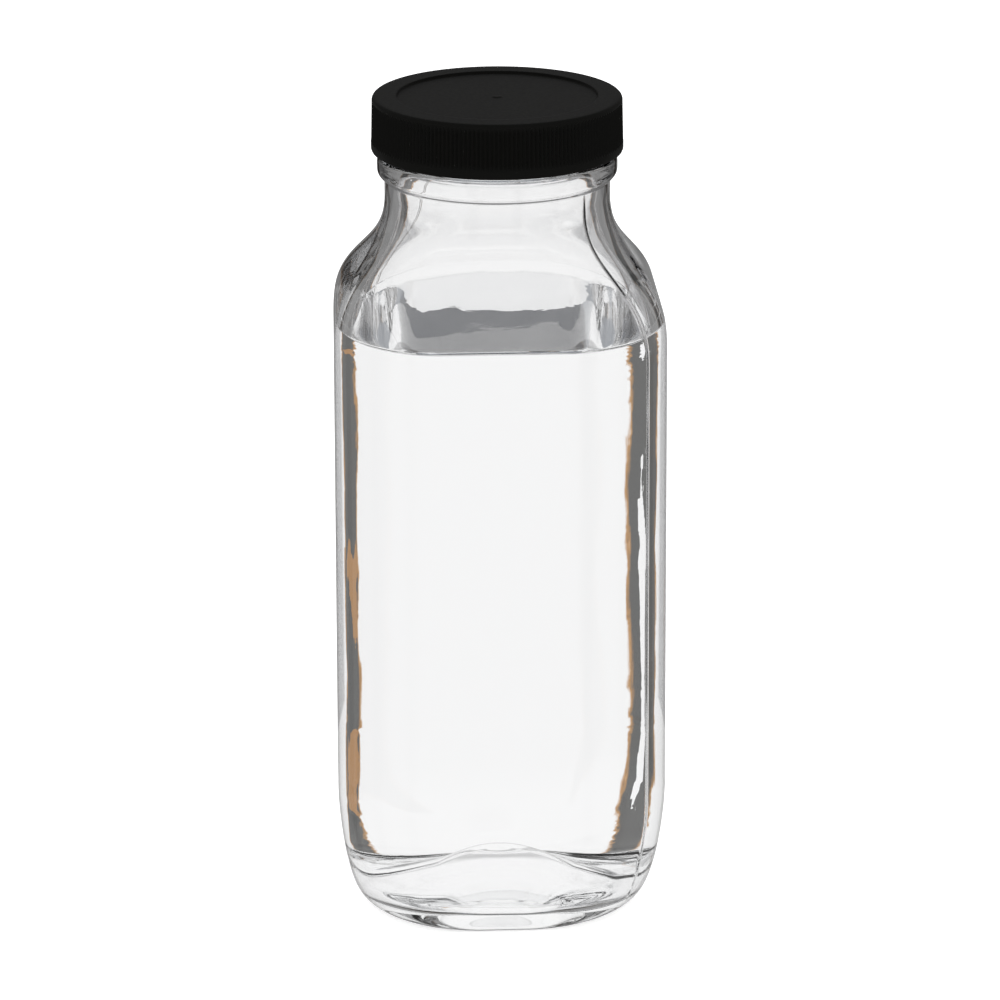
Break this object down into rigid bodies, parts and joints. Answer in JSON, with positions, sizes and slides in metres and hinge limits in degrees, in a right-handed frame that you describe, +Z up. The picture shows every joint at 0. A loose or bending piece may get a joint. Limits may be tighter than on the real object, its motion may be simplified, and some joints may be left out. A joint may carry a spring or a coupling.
{
  "type": "specimen jar",
  "caption": "Clear square glass jar with round corners, a threaded round neck, a ribbed black screw cap with a liner, and clear preserving fluid to the shoulder.",
  "frame": {"origin": "centre of the base, on the plane that the jar stands on", "axes": "+Z up, along the axis of the neck and cap; the flats of the square body face +X, -X, +Y and -Y"},
  "size_m": [0.0684, 0.0684, 0.1714],
  "materials": {
    "clear_glass": "polished",
    "clear_fluid": "polished",
    "black_plastic": "satin",
    "white_pulpboard": "matte",
    "clear_film": "satin"
  },
  "bodies": {
    "jar": {"glass_jar": "clear_glass", "preserving_fluid": "clear_fluid"},
    "liner": {"liner_backing": "white_pulpboard", "liner_facing": "clear_film"},
    "cap": {"cap_shell": "black_plastic"}
  },
  "joints": [
    {"name": "liner_lift", "type": "slide", "parent": "jar", "child": "liner", "axis": [0, 0, 1], "range_m": [0, 0.0127]},
    {"name": "cap_turn", "type": "hinge", "parent": "liner", "child": "cap", "pos_m": [0, 0, 0.1682], "axis": [0, 0, 1], "range_deg": [0, 1080]}
  ],
  "couplings": [
    {"joint": "liner_lift", "follows": "cap_turn", "m_per_rad": 0.00067375}
  ]
}
